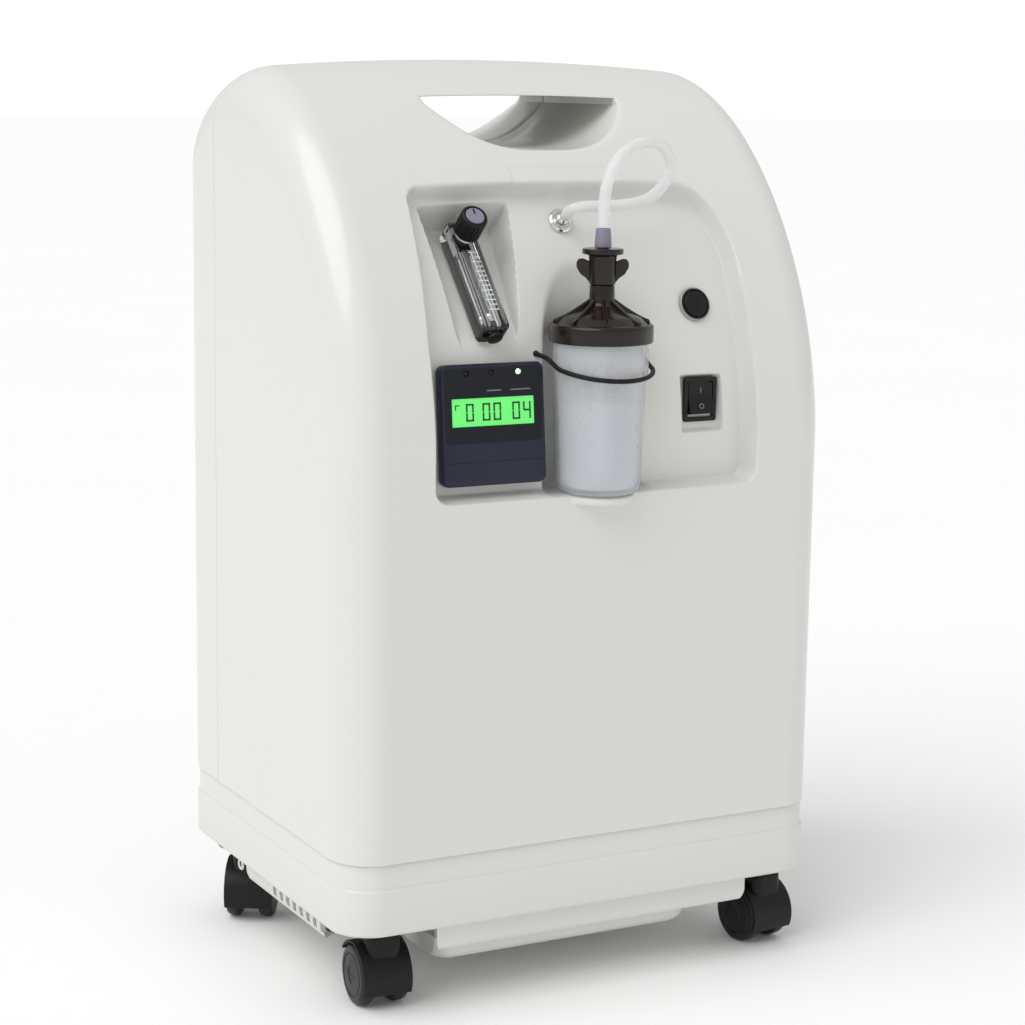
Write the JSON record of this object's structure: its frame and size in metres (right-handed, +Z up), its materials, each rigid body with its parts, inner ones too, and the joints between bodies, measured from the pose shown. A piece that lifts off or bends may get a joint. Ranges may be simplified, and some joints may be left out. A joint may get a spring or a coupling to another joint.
{
  "type": "oxygen concentrator",
  "caption": "Upright cabinet on twin-wheel casters with a carry handle and a recessed panel holding a flowmeter, humidifier bottle, display and switches; separates oxygen from room air.",
  "frame": {"origin": "centre of the footprint, on the floor under the wheels", "axes": "+Z up, the control panel faces -Y, +X to the right of the front"},
  "size_m": [0.351, 0.3094, 0.6],
  "materials": {
    "shell_plastic": "moulded, glossy off-white",
    "base_plastic": "moulded, satin off-white",
    "screw_steel": "zinc plated",
    "black_plastic": "fine grain",
    "display_plastic": "dark navy, semi-gloss",
    "lcd": "green backlit display",
    "led_lit": "lit green lamp",
    "led_dark": "unlit lamp",
    "clear_acrylic": "clear acrylic",
    "float_steel": "polished",
    "lilac_plastic": "grey-lilac",
    "outlet_metal": "polished nickel",
    "silicone_tube": "translucent silicone",
    "grey_plastic": "light grey",
    "brown_plastic": "dark brown, glossy",
    "bottle_plastic": "frosted clear plastic",
    "band_rubber": "black elastic",
    "foam": "open-cell foam",
    "deck_steel": "plain sheet",
    "cast_alloy": "cast, bead blasted",
    "circuit_board": "green solder mask",
    "caster_plastic": "black, satin",
    "axle_steel": "plain",
    "wheel_rubber": "black nylon tread"
  },
  "bodies": {
    "cabinet": {"front_shell": "shell_plastic", "rear_shell": "shell_plastic", "base_skirt": "base_plastic", "underbody_pan": "base_plastic", "case_screw_1": "screw_steel", "case_screw_2": "screw_steel", "case_screw_3": "screw_steel", "case_screw_4": "screw_steel", "power_inlet": "black_plastic", "display_housing": "display_plastic", "lcd_window": "lcd", "indicator_1": "led_dark", "indicator_2": "led_dark", "indicator_3": "led_lit", "flowmeter_body": "clear_acrylic", "flowmeter_plug": "black_plastic", "outlet_nozzle": "outlet_metal", "oxygen_tube": "silicone_tube", "breaker_housing": "grey_plastic", "switch_bezel": "black_plastic", "humidifier_lid": "brown_plastic", "tube_adapter": "lilac_plastic", "bubbler_stem": "clear_acrylic", "elastic_band": "band_rubber", "chassis_deck": "deck_steel", "compressor_body": "cast_alloy", "compressor_head_left": "cast_alloy", "compressor_head_right": "cast_alloy", "sieve_bed_left": "cast_alloy", "sieve_bed_right": "cast_alloy", "product_tank": "deck_steel", "valve_block": "cast_alloy", "fan_frame": "black_plastic", "control_board": "circuit_board"},
    "caster_front_left": {"caster_front_left_hood": "caster_plastic", "caster_front_left_axle": "axle_steel"},
    "caster_front_left_wheel_left": {"caster_front_left_wheel_left": "wheel_rubber"},
    "caster_front_left_wheel_right": {"caster_front_left_wheel_right": "wheel_rubber"},
    "caster_front_right": {"caster_front_right_hood": "caster_plastic", "caster_front_right_axle": "axle_steel"},
    "caster_front_right_wheel_left": {"caster_front_right_wheel_left": "wheel_rubber"},
    "caster_front_right_wheel_right": {"caster_front_right_wheel_right": "wheel_rubber"},
    "caster_rear_left": {"caster_rear_left_hood": "caster_plastic", "caster_rear_left_axle": "axle_steel"},
    "caster_rear_left_wheel_left": {"caster_rear_left_wheel_left": "wheel_rubber"},
    "caster_rear_left_wheel_right": {"caster_rear_left_wheel_right": "wheel_rubber"},
    "caster_rear_right": {"caster_rear_right_hood": "caster_plastic", "caster_rear_right_axle": "axle_steel"},
    "caster_rear_right_wheel_left": {"caster_rear_right_wheel_left": "wheel_rubber"},
    "caster_rear_right_wheel_right": {"caster_rear_right_wheel_right": "wheel_rubber"},
    "flow_knob": {"flow_knob": "black_plastic", "flow_knob_cap": "lilac_plastic"},
    "flow_float": {"flow_float": "float_steel"},
    "switch_rocker": {"switch_rocker": "black_plastic"},
    "breaker_button": {"breaker_button": "black_plastic"},
    "humidifier_bottle": {"humidifier_bottle": "bottle_plastic"},
    "lid_wing_nut": {"lid_wing_nut": "brown_plastic"},
    "filter_cover": {"filter_cover": "base_plastic", "foam_filter": "foam"},
    "fan_rotor": {"fan_rotor": "grey_plastic"}
  },
  "joints": [
    {"name": "caster_front_left_swivel", "type": "hinge", "parent": "cabinet", "child": "caster_front_left", "pos_m": [-0.1357, -0.09226, 0.05], "axis": [0, 0, 1], "continuous": true},
    {"name": "caster_front_left_wheel_left_spin", "type": "hinge", "parent": "caster_front_left", "child": "caster_front_left_wheel_left", "pos_m": [-0.14657, -0.08368, 0.02], "axis": [0.9986, -0.0523, 0], "continuous": true},
    {"name": "caster_front_left_wheel_right_spin", "type": "hinge", "parent": "caster_front_left", "child": "caster_front_left_wheel_right", "pos_m": [-0.124, -0.08486, 0.02], "axis": [0.9986, -0.0523, 0], "continuous": true},
    {"name": "caster_front_right_swivel", "type": "hinge", "parent": "cabinet", "child": "caster_front_right", "pos_m": [0.1534, -0.09476, 0.05], "axis": [0, 0, 1], "continuous": true},
    {"name": "caster_front_right_wheel_left_spin", "type": "hinge", "parent": "caster_front_right", "child": "caster_front_right_wheel_left", "pos_m": [0.14121, -0.0882, 0.02], "axis": [0.9925, 0.1219, 0], "continuous": true},
    {"name": "caster_front_right_wheel_right_spin", "type": "hinge", "parent": "caster_front_right", "child": "caster_front_right_wheel_right", "pos_m": [0.16364, -0.08544, 0.02], "axis": [0.9925, 0.1219, 0], "continuous": true},
    {"name": "caster_rear_left_swivel", "type": "hinge", "parent": "cabinet", "child": "caster_rear_left", "pos_m": [-0.1484, 0.09904, 0.05], "axis": [0, 0, 1], "continuous": true},
    {"name": "caster_rear_left_wheel_left_spin", "type": "hinge", "parent": "caster_rear_left", "child": "caster_rear_left_wheel_left", "pos_m": [-0.15397, 0.11172, 0.02], "axis": [0.8572, -0.515, 0], "continuous": true},
    {"name": "caster_rear_left_wheel_right_spin", "type": "hinge", "parent": "caster_rear_left", "child": "caster_rear_left_wheel_right", "pos_m": [-0.13459, 0.10008, 0.02], "axis": [0.8572, -0.515, 0], "continuous": true},
    {"name": "caster_rear_right_swivel", "type": "hinge", "parent": "cabinet", "child": "caster_rear_right", "pos_m": [0.1537, 0.12224, 0.05], "axis": [0, 0, 1], "continuous": true},
    {"name": "caster_rear_right_wheel_left_spin", "type": "hinge", "parent": "caster_rear_right", "child": "caster_rear_right_wheel_left", "pos_m": [0.14187, 0.12943, 0.02], "axis": [0.9976, 0.0698, 0], "continuous": true},
    {"name": "caster_rear_right_wheel_right_spin", "type": "hinge", "parent": "caster_rear_right", "child": "caster_rear_right_wheel_right", "pos_m": [0.16441, 0.13101, 0.02], "axis": [0.9976, 0.0698, 0], "continuous": true},
    {"name": "flow_knob_turn", "type": "hinge", "parent": "cabinet", "child": "flow_knob", "pos_m": [-0.068, -0.06671, 0.49038], "axis": [0, -0.7431, 0.6691], "range_deg": [-360, 720]},
    {"name": "flow_float_rise", "type": "slide", "parent": "cabinet", "child": "flow_float", "axis": [0, 0.6691, 0.7431], "range_m": [0, 0.047]},
    {"name": "power_switch", "type": "hinge", "parent": "cabinet", "child": "switch_rocker", "pos_m": [0.0843, -0.10473, 0.384], "axis": [1, 0, 0], "range_deg": [0, 20]},
    {"name": "breaker_press", "type": "slide", "parent": "cabinet", "child": "breaker_button", "axis": [0, 0.9385, -0.3451], "range_m": [0, 0.002], "stiffness_N_per_m": 400},
    {"name": "bottle_unscrew", "type": "hinge", "parent": "cabinet", "child": "humidifier_bottle", "pos_m": [0.002, -0.12026, 0.38], "axis": [0, 0, 1], "range_deg": [0, 360]},
    {"name": "wing_nut_turn", "type": "hinge", "parent": "cabinet", "child": "lid_wing_nut", "pos_m": [0.002, -0.12026, 0.475], "axis": [0, 0, 1], "continuous": true},
    {"name": "filter_cover_pull", "type": "slide", "parent": "cabinet", "child": "filter_cover", "axis": [0, 1, 0], "range_m": [0, 0.06]},
    {"name": "fan_spin", "type": "hinge", "parent": "cabinet", "child": "fan_rotor", "pos_m": [0, -0.00276, 0.29], "axis": [0, 0, 1], "continuous": true}
  ]
}
